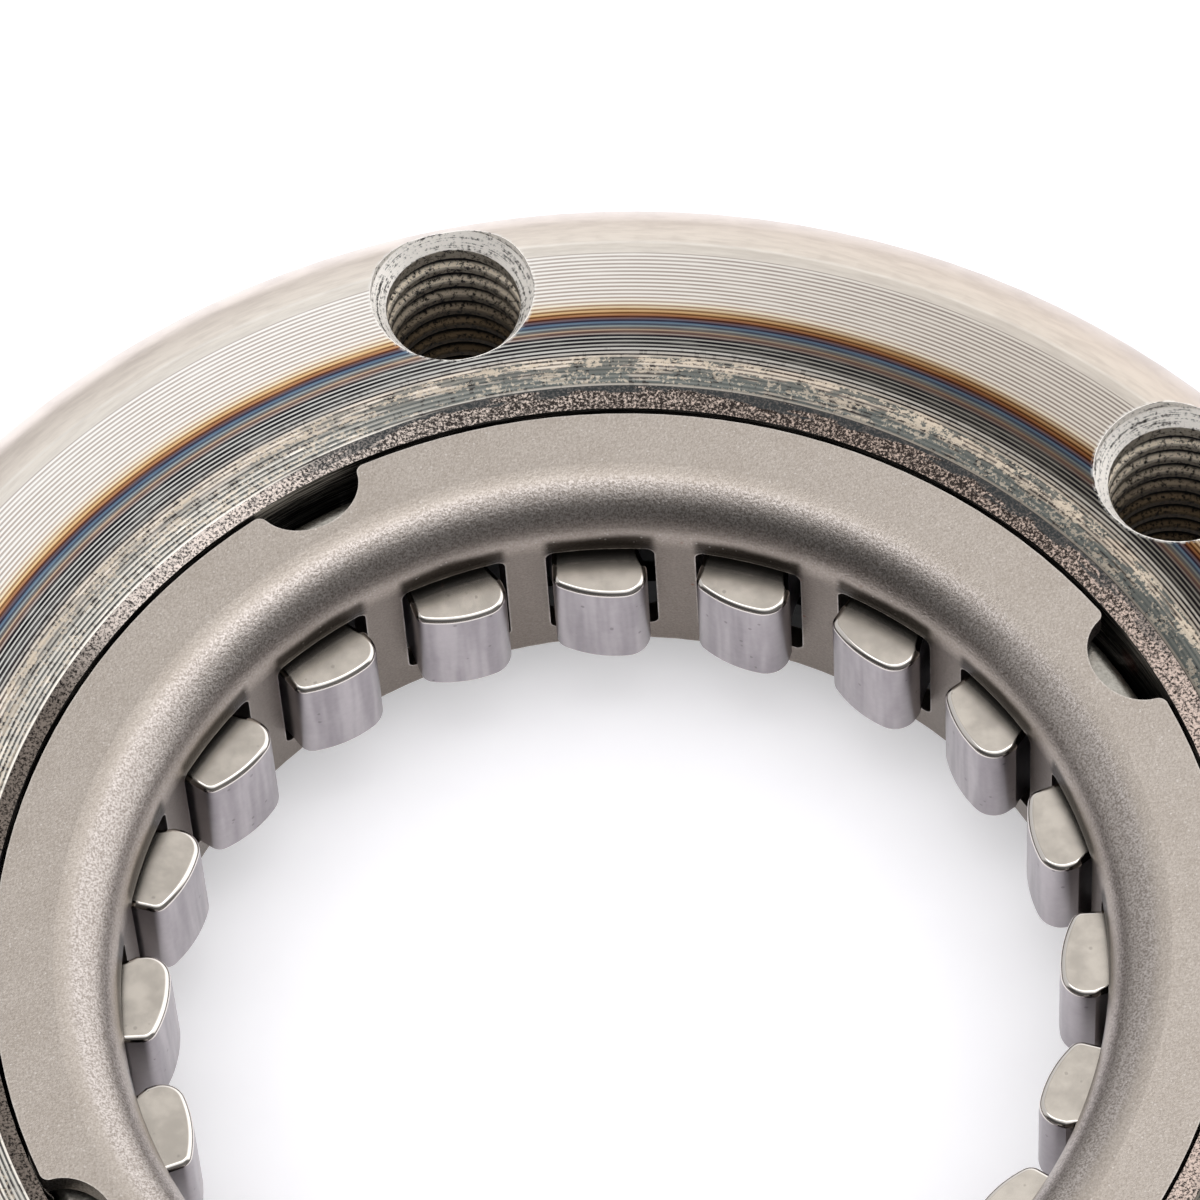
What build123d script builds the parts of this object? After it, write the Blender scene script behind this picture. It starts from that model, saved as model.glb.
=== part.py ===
from build123d import *
import os
from math import cos, radians, sin, sqrt

os.makedirs("parts", exist_ok=True)

# Sprag one-way clutch of a motorcycle starter drive: a thick steel outer race,
# a sprag cage made of a flanged inner cage, an outer cage and a ribbon spring,
# and twenty loose sprags that lean in the windows of both cages.
#
# Frame: millimetres, Z is the clutch axis, the origin is the centre of the
# race's lower face, and the flanged side of the cage looks along +Z.
# "Cw" and "ccw" are the clockwise and counterclockwise sides seen from +Z.

# ---------------------------------------------------------------- sizes ----

# Outer race
bore_radius = 29.2
race_wall = 12.95
rim_round_radius = 3.55
mouth_bevel_width = 1.85
mouth_bevel_drop = 0.35
lip_width = 2.9
lip_thickness = 2.7
race_foot_chamfer = 0.8

# Threaded bolt holes, M8 x 1.25, right through the race
bolt_count = 6
bolt_edge_distance = 5.35
bolt_first_angle = 98.5
thread_minor_radius = 3.32
thread_major_radius = 4.0
thread_pitch = 1.25
thread_crest_share = 0.25
countersink_radius = 4.02
countersink_land = 0.6

# Sprags
sprag_count = 20
first_sprag_angle = 88.0
sprag_length = 5.95
head_radius = 3.92
head_ccw_width = 2.9
head_cw_width = 2.75
sprag_height = 8.17
tip_ccw_width = 2.36
tip_cw_width = 2.24
tip_face_radius = 6.0
tip_face_offset = 0.8
waist_cw_width = 1.75
tip_ccw_corner_radius = 0.7
tip_cw_corner_radius = 1.2
head_corner_radius = 0.4
sprag_edge_radius = 0.3
# The free sprags lie this far below the middle of their windows
sprag_drop = 0.15
lean_travel = 6.0
# Sprags that stand a little off their neighbours in the free cage: {number: degrees}
rest_leans = {2: 0.4, 3: 2.4, 5: 0.8, 8: 0.5, 11: 1.1, 14: 0.6, 17: 0.9, 20: 0.7}

# Inner cage: flange, bend and a windowed wall from one sheet
inner_cage_sheet = 1.1
inner_wall_inset = 5.95
inner_cage_foot = 1.445
flange_gap = 0.22
flange_recess = 0.5
bend_radius = 1.8
window_land = 0.305
window_corner_radius = 0.45
notch_count = 4
notch_first_angle = 26.85
notch_width = 5.2
notch_land = 0.63
notch_mouth_radius = 0.45

# Outer cage: an inward flange under the inner cage's flange, and a windowed wall
outer_cage_sheet = 1.0
outer_cage_foot = 1.695
outer_cage_gap = 0.7
outer_flange_inset = 2.3
outer_flange_drop = 0.5
outer_shoulder_radius = 0.6

# Ribbon spring between the cages
ribbon_sheet = 0.25
ribbon_offset = 0.4
ribbon_rail = 0.96
ribbon_tab_height = 3.0
ribbon_tab_reach = 0.9

# Fits
running_gap = 0.08
seat_gap = 0.1
window_side_gap = 0.29
window_end_gap = 0.425
sweep_gap = 0.15
tab_gap = 0.12

# ------------------------------------------------- places worked out -------

# Radii of the race
race_radius = bore_radius + race_wall
lip_radius = bore_radius - lip_width

# Bolt circle and thread
bolt_circle_radius = race_radius - bolt_edge_distance
countersink_depth = countersink_land + countersink_radius - thread_minor_radius

# Sprag section: x runs outward from the lean axis, y runs ccw
pivot_radius = bore_radius - running_gap - head_radius
tip_reach = sprag_height - head_radius
greatest_lean = lean_travel + max(rest_leans.values())
lean_sine = sin(radians(greatest_lean))
lean_cosine = cos(radians(greatest_lean))

# Radii of the cage
flange_radius = bore_radius - flange_gap
inner_wall_radius = bore_radius - inner_wall_inset
inner_wall_outer = inner_wall_radius + inner_cage_sheet
bend_centre_radius = inner_wall_outer + bend_radius
notch_depth = flange_radius - bend_centre_radius - notch_land
outer_cage_radius = bore_radius - outer_cage_gap
outer_cage_inner = outer_cage_radius - outer_cage_sheet
outer_flange_radius = outer_cage_radius - outer_flange_inset
ribbon_radius = pivot_radius + ribbon_offset

# Heights, from the race's lower face up through the stack of the cage
window_height = sprag_length + 2 * window_end_gap
outer_cage_bottom = lip_thickness + seat_gap
window_middle = outer_cage_bottom + outer_cage_foot + window_height / 2
sprag_base = window_middle - sprag_drop - sprag_length / 2
inner_cage_bottom = window_middle - window_height / 2 - inner_cage_foot
bend_centre_height = window_middle + window_height / 2 + window_land
flange_under = bend_centre_height + bend_radius
outer_flange_top = flange_under - outer_flange_drop
flange_top = flange_under + inner_cage_sheet
race_height = flange_top + flange_recess


def sprag_angle(number):
    """Direction of one sprag; number 1 is the first, the others follow clockwise."""
    return first_sprag_angle - 360 / sprag_count * (number - 1)


def radial_plane(angle, height):
    """A plane on the clutch axis that looks outward along one direction."""
    outward = Vector(cos(radians(angle)), sin(radians(angle)), 0)
    along = Vector(-sin(radians(angle)), cos(radians(angle)), 0)
    return Plane(origin=(0, 0, height), x_dir=along, z_dir=outward)


def head_corner(width):
    """Where a flank of the given half width meets the round head."""
    return (sqrt(head_radius**2 - width**2), width)


# ------------------------------------------------------------ outer race ---


# Half section of one threaded hole, along its own axis: V grooves between narrow
# crests, and at each mouth a short straight land and a countersink. The grooves
# are rings, not one helix.
crest = thread_pitch * thread_crest_share
groove_count = int((race_height - 2 * countersink_depth) / thread_pitch)
first_groove = (race_height - groove_count * thread_pitch) / 2
hole_points = [
    (0, 0),
    (countersink_radius, 0),
    (countersink_radius, countersink_land),
    (thread_minor_radius, countersink_depth),
]
for turn in range(groove_count):
    groove = first_groove + turn * thread_pitch
    hole_points.append((thread_minor_radius, groove + crest / 2))
    hole_points.append((thread_major_radius, groove + thread_pitch / 2))
    hole_points.append((thread_minor_radius, groove + thread_pitch - crest / 2))
hole_points.append((thread_minor_radius, race_height - countersink_depth))
hole_points.append((countersink_radius, race_height - countersink_land))
hole_points.append((countersink_radius, race_height))
hole_points.append((0, race_height))

with BuildPart() as bolt_hole:
    with BuildSketch(Plane.XZ):
        with BuildLine():
            Polyline(*hole_points, close=True)
        make_face()
    revolve(axis=Axis.Z)

with BuildPart() as outer_race:
    with BuildSketch(Plane.XZ):
        with BuildLine():
            Polyline(
                (lip_radius, 0),
                (race_radius - race_foot_chamfer, 0),
                (race_radius, race_foot_chamfer),
                (race_radius, race_height),
                (bore_radius + mouth_bevel_width, race_height),
                (bore_radius, race_height - mouth_bevel_drop),
                (bore_radius, lip_thickness),
                (lip_radius, lip_thickness),
                close=True,
            )
        make_face()
        fillet(vertices().sort_by_distance((race_radius, race_height))[0], rim_round_radius)
    revolve(axis=Axis.Z)
    with PolarLocations(bolt_circle_radius, bolt_count, start_angle=bolt_first_angle):
        add(bolt_hole.part, mode=Mode.SUBTRACT)

outer_race.part.label = "outer_race"
export_step(outer_race.part, "parts/outer_race.step")

# ------------------------------------------------------------ inner cage ---


outer_bend_radius = bend_radius + inner_cage_sheet


def on_bend(radius, degrees):
    """A point of the half section on a circle about the bend's centre."""
    across = bend_centre_radius - radius * cos(radians(degrees))
    return (across, bend_centre_height + radius * sin(radians(degrees)))


def is_notch_mouth(edge):
    """True for an upright edge where a notch opens on the flange's rim."""
    middle = edge.center()
    on_rim = abs(sqrt(middle.X**2 + middle.Y**2) - flange_radius) < sweep_gap
    return on_rim and abs(middle.Z - (flange_under + flange_top) / 2) < sweep_gap


with BuildPart() as inner_cage:
    with BuildSketch(Plane.XZ):
        with BuildLine():
            Line((inner_wall_radius, inner_cage_bottom), on_bend(outer_bend_radius, 0))
            ThreePointArc(*[on_bend(outer_bend_radius, turn) for turn in (0, 45, 90)])
            Polyline(
                on_bend(outer_bend_radius, 90),
                (flange_radius, flange_top),
                (flange_radius, flange_under),
                on_bend(bend_radius, 90),
            )
            ThreePointArc(*[on_bend(bend_radius, turn) for turn in (90, 45, 0)])
            Polyline(
                on_bend(bend_radius, 0),
                (inner_wall_outer, inner_cage_bottom),
                (inner_wall_radius, inner_cage_bottom),
            )
        make_face()
    revolve(axis=Axis.Z)
    for number in range(1, sprag_count + 1):
        with BuildSketch(radial_plane(sprag_angle(number), window_middle)):
            Rectangle(2 * (tip_ccw_width + window_side_gap), window_height)
            fillet(vertices(), window_corner_radius)
        extrude(amount=bend_centre_radius, mode=Mode.SUBTRACT)
    with BuildSketch(Plane.XY.offset(flange_top)):
        with PolarLocations(flange_radius, notch_count, start_angle=notch_first_angle):
            Ellipse(notch_depth, notch_width / 2)
    extrude(amount=-2 * inner_cage_sheet, mode=Mode.SUBTRACT)
    fillet(inner_cage.edges().filter_by(is_notch_mouth), notch_mouth_radius)

inner_cage.part.label = "inner_cage"
export_step(inner_cage.part, "parts/inner_cage.step")

# ------------------------------------------------------------ outer cage ---


def swept_ccw(corner):
    """How far ccw a point of the sprag reaches at its greatest lean."""
    return corner[1] * lean_cosine + corner[0] * lean_sine


outer_window_ccw = swept_ccw(head_corner(head_ccw_width)) + sweep_gap
outer_window_cw = head_cw_width + sweep_gap

with BuildPart() as outer_cage:
    with BuildSketch(Plane.XZ):
        with BuildLine():
            Polyline(
                (outer_flange_radius, outer_flange_top),
                (outer_cage_radius, outer_flange_top),
                (outer_cage_radius, outer_cage_bottom),
                (outer_cage_inner, outer_cage_bottom),
                (outer_cage_inner, outer_flange_top - outer_cage_sheet),
                (outer_flange_radius, outer_flange_top - outer_cage_sheet),
                close=True,
            )
        make_face()
    revolve(axis=Axis.Z)
    upper_rings = outer_cage.edges().filter_by(GeomType.CIRCLE).group_by(Axis.Z)[-1]
    shoulder = upper_rings.sort_by(SortBy.RADIUS)[-1]
    fillet(shoulder, outer_shoulder_radius)
    for number in range(1, sprag_count + 1):
        with BuildSketch(radial_plane(sprag_angle(number), window_middle)):
            with Locations(((outer_window_ccw - outer_window_cw) / 2, 0)):
                Rectangle(outer_window_ccw + outer_window_cw, window_height)
            fillet(vertices(), window_corner_radius)
        extrude(amount=bore_radius, mode=Mode.SUBTRACT)

outer_cage.part.label = "outer_cage"
export_step(outer_cage.part, "parts/outer_cage.step")

# ---------------------------------------------------------- ribbon spring --

ribbon_window_ccw = head_ccw_width + sweep_gap + ribbon_offset * lean_sine
ribbon_window_cw = waist_cw_width + tab_gap + ribbon_tab_reach

with BuildPart() as ribbon_spring:
    with BuildSketch(Plane.XY.offset(window_middle)):
        Circle(ribbon_radius + ribbon_sheet)
        Circle(ribbon_radius, mode=Mode.SUBTRACT)
    extrude(amount=window_height / 2 + ribbon_rail, both=True)
    for number in range(1, sprag_count + 1):
        with BuildSketch(radial_plane(sprag_angle(number), window_middle)):
            with Locations(((ribbon_window_ccw - ribbon_window_cw) / 2, 0)):
                Rectangle(ribbon_window_ccw + ribbon_window_cw, window_height)
            with Locations((-ribbon_window_cw + ribbon_tab_reach / 2, 0)):
                Rectangle(ribbon_tab_reach, ribbon_tab_height, mode=Mode.SUBTRACT)
            fillet(vertices(), ribbon_sheet)
        extrude(amount=bore_radius, mode=Mode.SUBTRACT)

ribbon_spring.part.label = "ribbon_spring"
export_step(ribbon_spring.part, "parts/ribbon_spring.step")

# ----------------------------------------------------------------- sprags --


# Section of a sprag across its length: a round head that rides the race, a
# hollow cw flank, and a flatter, off-centre tip face that meets the hub.
tip_centre = (tip_face_radius - tip_reach, -tip_face_offset)


def on_tip_face(side):
    """A point of the tip face at the given distance ccw of the lean axis."""
    rise = sqrt(tip_face_radius**2 - (side - tip_centre[1]) ** 2)
    return (tip_centre[0] - rise, side)


head_ccw = head_corner(head_ccw_width)
head_cw = head_corner(-head_cw_width)
tip_ccw = on_tip_face(tip_ccw_width)
tip_cw = on_tip_face(-tip_cw_width)
shoulder_out = (head_radius / 4, head_ccw_width)
shoulder_in = (-head_radius / 16, tip_ccw_width)
flank_cw = (tip_cw[0] + tip_reach / 3, -tip_cw_width)
waist = ((flank_cw[0] + head_cw[0]) / 2, -waist_cw_width)

for number in range(1, sprag_count + 1):
    name = f"sprag_{number:02d}"
    lean = rest_leans.get(number, 0)
    angle = radians(sprag_angle(number))
    pivot = (pivot_radius * cos(angle), pivot_radius * sin(angle), sprag_base)
    outward = (cos(angle + radians(lean)), sin(angle + radians(lean)), 0)
    with BuildPart() as sprag:
        with BuildSketch(Plane(origin=pivot, x_dir=outward, z_dir=(0, 0, 1))):
            with BuildLine():
                ThreePointArc(head_cw, (head_radius, 0), head_ccw)
                Polyline(head_ccw, shoulder_out, shoulder_in, tip_ccw)
                ThreePointArc(tip_ccw, (-tip_reach, -tip_face_offset), tip_cw)
                Line(tip_cw, flank_cw)
                ThreePointArc(flank_cw, waist, head_cw)
            make_face()
            fillet(vertices().sort_by_distance(tip_cw)[0], tip_cw_corner_radius)
            fillet(vertices().sort_by_distance(tip_ccw)[0], tip_ccw_corner_radius)
            fillet(vertices().sort_by_distance(head_cw)[0], head_corner_radius)
            fillet(vertices().sort_by_distance(head_ccw)[0], head_corner_radius)
        extrude(amount=sprag_length)
        end_edges = sprag.edges().group_by(Axis.Z)
        fillet(end_edges[0] + end_edges[-1], sprag_edge_radius)
    sprag.part.label = name
    export_step(sprag.part, f"parts/{name}.step")
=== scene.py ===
# %% [markdown]
# # Finishing a sprag clutch
# A sprag clutch lets a starter motor turn an engine and then lets go of it. A thick steel outer race
# carries two pressed cages, a thin ribbon spring and twenty small wedges, the sprags.
# The solids come ready made, in metres, standing on the XY plane with the clutch's axis along Z.
# This lesson gives them their finishes: turned and heat-tinted steel, blasted sheet, polished wedges.
# %% Load the clutch
import math

import bmesh
import bpy
from mathutils import Matrix, Vector


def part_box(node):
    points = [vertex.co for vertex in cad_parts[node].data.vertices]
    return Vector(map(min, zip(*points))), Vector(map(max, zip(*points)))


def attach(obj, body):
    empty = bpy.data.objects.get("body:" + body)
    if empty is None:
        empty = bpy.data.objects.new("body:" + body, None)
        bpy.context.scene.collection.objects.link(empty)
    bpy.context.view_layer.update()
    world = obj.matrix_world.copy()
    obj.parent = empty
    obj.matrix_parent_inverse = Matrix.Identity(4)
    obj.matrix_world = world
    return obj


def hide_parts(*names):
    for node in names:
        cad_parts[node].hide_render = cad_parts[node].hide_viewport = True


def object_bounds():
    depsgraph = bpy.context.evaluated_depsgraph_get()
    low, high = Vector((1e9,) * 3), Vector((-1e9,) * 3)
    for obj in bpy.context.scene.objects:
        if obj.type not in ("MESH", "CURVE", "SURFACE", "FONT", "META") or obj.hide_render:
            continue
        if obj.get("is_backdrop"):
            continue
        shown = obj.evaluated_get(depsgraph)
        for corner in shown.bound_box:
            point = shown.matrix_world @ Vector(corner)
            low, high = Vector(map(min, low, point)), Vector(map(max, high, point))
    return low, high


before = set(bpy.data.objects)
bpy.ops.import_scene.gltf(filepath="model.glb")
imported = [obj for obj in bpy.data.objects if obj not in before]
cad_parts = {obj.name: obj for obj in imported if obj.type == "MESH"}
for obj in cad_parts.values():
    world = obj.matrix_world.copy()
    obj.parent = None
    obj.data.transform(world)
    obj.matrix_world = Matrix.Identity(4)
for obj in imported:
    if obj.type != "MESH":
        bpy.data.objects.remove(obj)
cad_low, cad_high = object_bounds()
scene = bpy.context.scene
print("loaded", len(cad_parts), "solids; size in mm:", [round(v * 1000, 1) for v in cad_high - cad_low])

# %% [markdown]
# ## The camera
# The clutch is seen from above its front edge, close up, with a long lens: the ring runs out of the
# picture on both sides. A long lens keeps the circles true, as in a catalogue picture.
# The camera could be aimed with a constraint, but a matrix built from three directions is exact and
# also carries the small tilt of the picture.
# %% Camera
EYE = Vector((0.649294, -190.947233, 355.302135)) / 1000
LOOK_DOWN = math.radians(58.4406)
PICTURE_TILT = math.radians(-4.313753)

forward = Vector((0, math.cos(LOOK_DOWN), -math.sin(LOOK_DOWN)))
right = Vector((1, 0, 0))
up = Vector((0, math.sin(LOOK_DOWN), math.cos(LOOK_DOWN)))
tilted_right = math.cos(PICTURE_TILT) * right + math.sin(PICTURE_TILT) * up
tilted_up = math.cos(PICTURE_TILT) * up - math.sin(PICTURE_TILT) * right

lens = bpy.data.cameras.new("catalogue_lens")
lens.lens = 250.685
lens.sensor_width = 36
lens.clip_start, lens.clip_end = 0.01, 20
camera = bpy.data.objects.new("catalogue_camera", lens)
scene.collection.objects.link(camera)
turned = Matrix((tilted_right, tilted_up, -forward)).transposed().to_4x4()
camera.matrix_world = Matrix.Translation(EYE) @ turned
scene.camera = camera
print("camera is", round(EYE.length * 1000), "mm from the middle of the clutch")

# %% [markdown]
# ## Wiring shader nodes
# Every finish below is a small network of nodes. Writing each node by hand takes four lines, so four
# short helpers do it: one feeds a socket from a number or from another node, one adds any node, and
# two add a sum, on numbers and on vectors. A picture texture could hold the same detail, but it would
# blur up close.
# %% Helpers for nodes
def feed(tree, socket, value):
    """Gives a socket a fixed value, or a link from another node."""
    if isinstance(value, bpy.types.NodeSocket):
        tree.links.new(value, socket)
    else:
        socket.default_value = value


def add(tree, kind, settings=None, **sockets):
    """Adds a node, sets its choices, and feeds the sockets that are named."""
    node = tree.nodes.new("ShaderNode" + kind)
    for name, value in (settings or {}).items():
        setattr(node, name, value)
    for name, value in sockets.items():
        feed(tree, node.inputs[name.replace("_", " ")], value)
    return node


def calc(tree, operation, *values):
    """One step of arithmetic on numbers that change over the surface."""
    node = add(tree, "Math", {"operation": operation})
    for socket, value in zip(node.inputs, values):
        feed(tree, socket, value)
    return node.outputs[0]


def vector_calc(tree, operation, *values):
    """One step of arithmetic on vectors. A step that measures something gives a number."""
    node = add(tree, "VectorMath", {"operation": operation})
    for socket, value in zip(node.inputs, values):
        feed(tree, socket, value)
    measures = operation in ("LENGTH", "DISTANCE", "DOT_PRODUCT")
    return node.outputs["Value" if measures else "Vector"]


print("helpers ready: feed, add, calc and vector_calc")

# %% [markdown]
# More helpers say what a finish needs most: a soft or straight step between two values, a blend of two
# colours, a scale of many colours, and a noise. Colours are written as a paint chart gives them, 0 to
# 255, and turned into the linear values that light works in.
# %% Helpers for masks, colours and noise
def linear(red, green, blue):
    """A colour from a chart, 0 to 255, as linear light."""
    light = [((v / 255 + 0.055) / 1.055) ** 2.4 if v > 10 else v / 255 / 12.92 for v in (red, green, blue)]
    return (*light, 1)


def step(tree, value, low, high, start=0.0, end=1.0):
    """Goes smoothly from start to end while the value goes from low to high."""
    node = add(tree, "MapRange", {"interpolation_type": "SMOOTHSTEP"}, Value=value)
    for socket, number in zip(list(node.inputs)[1:5], (low, high, start, end)):
        feed(tree, socket, number)
    return node.outputs[0]


def step_straight(tree, value, low, high):
    """The share of the way from low to high, kept between 0 and 1."""
    node = add(tree, "MapRange", Value=value)
    for socket, number in zip(list(node.inputs)[1:3], (low, high)):
        feed(tree, socket, number)
    return node.outputs[0]


def blend(tree, share, first, second, how="MIX"):
    """Mixes two colours by a share from 0 to 1."""
    node = tree.nodes.new("ShaderNodeMix")
    node.data_type, node.blend_type = "RGBA", how
    for socket, value in zip((node.inputs[0], node.inputs[6], node.inputs[7]), (share, first, second)):
        feed(tree, socket, value)
    return node.outputs[2]


def noise(tree, place, scale, detail=2.0, roughness=0.5):
    """A cloudy pattern from 0 to 1, with this many clouds to a unit of the place it is given."""
    made = add(tree, "TexNoise", Vector=place, Scale=scale, Detail=detail, Roughness=roughness)
    return made.outputs[0]


def colour_scale(tree, value, low, high, stops):
    """Colours for a value from low to high. Each stop is a value and a chart colour."""
    node = add(tree, "ValToRGB", Fac=step_straight(tree, value, low, high))
    marks = node.color_ramp.elements
    while len(marks) < len(stops):
        marks.new(0.5)
    for mark, (where, colour) in zip(marks, stops):
        mark.position = (where - low) / (high - low)
        mark.color = linear(*colour)
    return node.outputs[0]


print("chart grey 128 is", round(linear(128, 128, 128)[0], 3), "of full light")

# %% [markdown]
# A pattern that several finishes share is wired once, as a node group with named sockets, and placed in
# each of them with its own values. Two helpers make an empty group and place a finished one.
# %% Helpers for node groups
def new_group(name, inputs, outputs):
    """An empty node group. Returns it with what comes in and what goes out."""
    group = bpy.data.node_groups.new(name, "ShaderNodeTree")
    for label, kind, value in inputs:
        socket = group.interface.new_socket(label, in_out="INPUT", socket_type="NodeSocket" + kind)
        if value is not None:
            socket.default_value = value
    for label, kind in outputs:
        group.interface.new_socket(label, in_out="OUTPUT", socket_type="NodeSocket" + kind)
    return group, group.nodes.new("NodeGroupInput").outputs, group.nodes.new("NodeGroupOutput").inputs


def use(tree, group, **sockets):
    """Places a node group in a material and feeds its named inputs."""
    node = add(tree, "Group", {"node_tree": group})
    for name, value in sockets.items():
        feed(tree, node.inputs[name.replace("_", " ")], value)
    return node.outputs


print("helpers ready: new_group and use")

# %% [markdown]
# ## Where a point is on the clutch
# Everything on the clutch was made by turning, pressing or boring round one axis, so its marks are
# rings. A finish must know how far a point is from the axis, how high it is, and which way round it
# lies. Object coordinates give this straight away, because every solid keeps its place in its mesh.
# The way round is given as a direction of length 1, not as an angle, so that no pattern has a seam.
# %% Node group: place on the clutch
PLACE, _, out = new_group(
    "place_on_clutch", [],
    [("Radius", "Float"), ("Height", "Float"), ("Round", "Vector"), ("Point", "Vector")],
)
metres = add(PLACE, "TexCoord").outputs["Object"]
point = add(PLACE, "VectorMath", {"operation": "SCALE"}, Vector=metres, Scale=1000.0).outputs[0]
flat = vector_calc(PLACE, "MULTIPLY", point, (1, 1, 0))
feed(PLACE, out["Radius"], vector_calc(PLACE, "LENGTH", flat))
feed(PLACE, out["Height"], add(PLACE, "SeparateXYZ", Vector=point).outputs["Z"])
feed(PLACE, out["Round"], vector_calc(PLACE, "NORMALIZE", flat))
feed(PLACE, out["Point"], point)
print("group", PLACE.name, "gives millimetres from the axis and from the lower face")

# %% [markdown]
# The bolt holes and the windows repeat round the clutch. A second group folds the whole turn into one
# of these steps: it says how far a point lies from the middle line of the nearest copy, and how far out.
# %% Node group: nearest copy round the axis
NEAREST, given, out = new_group(
    "nearest_copy",
    [("Point", "Vector", None), ("Copies", "Float", 6.0), ("First", "Float", 0.0)],
    [("Across", "Float"), ("Outward", "Float")],
)
parts = add(NEAREST, "SeparateXYZ", Vector=given["Point"]).outputs
turn = calc(NEAREST, "ARCTAN2", parts["Y"], parts["X"])
turn = calc(NEAREST, "SUBTRACT", turn, calc(NEAREST, "RADIANS", given["First"]))
one_step = calc(NEAREST, "DIVIDE", math.tau, given["Copies"])
whole = calc(NEAREST, "MULTIPLY", calc(NEAREST, "ROUND", calc(NEAREST, "DIVIDE", turn, one_step)), one_step)
rest = calc(NEAREST, "SUBTRACT", turn, whole)
flat = add(NEAREST, "CombineXYZ", X=parts["X"], Y=parts["Y"]).outputs[0]
reach = vector_calc(NEAREST, "LENGTH", flat)
feed(NEAREST, out["Across"], calc(NEAREST, "MULTIPLY", reach, calc(NEAREST, "SINE", rest)))
feed(NEAREST, out["Outward"], calc(NEAREST, "MULTIPLY", reach, calc(NEAREST, "COSINE", rest)))
print("group", NEAREST.name, "has", len(NEAREST.nodes), "nodes")

# %% [markdown]
# ## Marks that run round
# A cutting tool leaves streaks along the cut. A noise stretched along the ring and squeezed across it
# looks like them. The group takes how many marks fit in a turn and in a millimetre across. Nearly every
# turned surface uses it, so a one-line helper places it.
# %% Node group: streaks round the axis
STREAKS, given, out = new_group(
    "streaks_round",
    [("Round", "Vector", None), ("Across", "Float", 0.0), ("Marks each turn", "Float", 60.0),
     ("Marks each mm", "Float", 8.0), ("Detail", "Float", 2.0)],
    [("Streak", "Float")],
)
along = add(STREAKS, "VectorMath", {"operation": "SCALE"}, Vector=given["Round"],
            Scale=given["Marks each turn"])
across = add(STREAKS, "CombineXYZ", Z=calc(STREAKS, "MULTIPLY", given["Across"], given["Marks each mm"]))
stretched = vector_calc(STREAKS, "ADD", along.outputs[0], across.outputs[0])
feed(STREAKS, out["Streak"], noise(STREAKS, stretched, 1.0, given["Detail"], 0.6))


def streaks(tree, round_way, across, each_turn, each_mm, detail=2.0):
    """Streaks round the axis, from 0 to 1."""
    return use(tree, STREAKS, Round=round_way, Across=across, Marks_each_turn=each_turn,
               Marks_each_mm=each_mm, Detail=detail)["Streak"]


print("group", STREAKS.name, "has", len(STREAKS.nodes), "nodes")

# %% [markdown]
# ## Turned grooves
# A lathe tool moves a little with every turn of the work and leaves a fine spiral. Seen close, it is a
# row of bright ridges with narrow dark valleys. A sine of the radius gives the ridges, and a step
# sharpens them. The pitch wanders slightly, because no machine feeds perfectly evenly. The group also
# numbers the grooves, so that the valleys can be darker in one groove than in the next.
# %% Node group: turned grooves
GROOVES, given, out = new_group(
    "turned_grooves",
    [("Round", "Vector", None), ("Across", "Float", 0.0), ("Pitch", "Float", 0.22), ("Start", "Float", 0.0)],
    [("Valley", "Float"), ("Height", "Float"), ("Number", "Float")],
)
wander = streaks(GROOVES, given["Round"], given["Across"], 1.5, 0.6)
turns = calc(GROOVES, "DIVIDE", calc(GROOVES, "SUBTRACT", given["Across"], given["Start"]), given["Pitch"])
turns = calc(GROOVES, "MULTIPLY_ADD", calc(GROOVES, "SUBTRACT", wander, 0.5), 0.3, turns)
wave = calc(GROOVES, "COSINE", calc(GROOVES, "MULTIPLY", turns, math.tau))
feed(GROOVES, out["Height"], calc(GROOVES, "MULTIPLY_ADD", wave, 0.5, 0.5))
feed(GROOVES, out["Valley"], step(GROOVES, wave, 0.45, -0.55))
feed(GROOVES, out["Number"], calc(GROOVES, "ROUND", turns))
print("group", GROOVES.name, "has", len(GROOVES.nodes), "nodes")

# %% [markdown]
# ## Grain
# Blasted sheet, scale and worn plating all show small grains, each with its own shade. A cell pattern
# gives every grain one value, and a noise makes the cells uneven. The group gives a shade, a mask of
# the few grains that stand out, and a height for bump.
# %% Node group: grain
GRAIN, given, out = new_group(
    "grain",
    [("Point", "Vector", None), ("Grains each mm", "Float", 8.0), ("Share", "Float", 0.2)],
    [("Shade", "Float"), ("Chosen", "Float"), ("Height", "Float")],
)
fine = noise(GRAIN, given["Point"], given["Grains each mm"], 2.0, 0.65)
cells = add(GRAIN, "TexVoronoi", {"feature": "F1"}, Vector=given["Point"], Scale=given["Grains each mm"])
cell_value = add(GRAIN, "SeparateColor", Color=cells.outputs["Color"]).outputs[0]
even_out = step(GRAIN, fine, 0.3, 0.7)
shade = calc(GRAIN, "MULTIPLY_ADD", even_out, 0.65, calc(GRAIN, "MULTIPLY", cell_value, 0.35))
feed(GRAIN, out["Shade"], shade)
feed(GRAIN, out["Chosen"], calc(GRAIN, "MULTIPLY", calc(GRAIN, "LESS_THAN", cell_value, given["Share"]),
                                step(GRAIN, cells.outputs["Distance"], 0.55, 0.3)))
feed(GRAIN, out["Height"], fine)
print("group", GRAIN.name, "has", len(GRAIN.nodes), "nodes")

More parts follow.
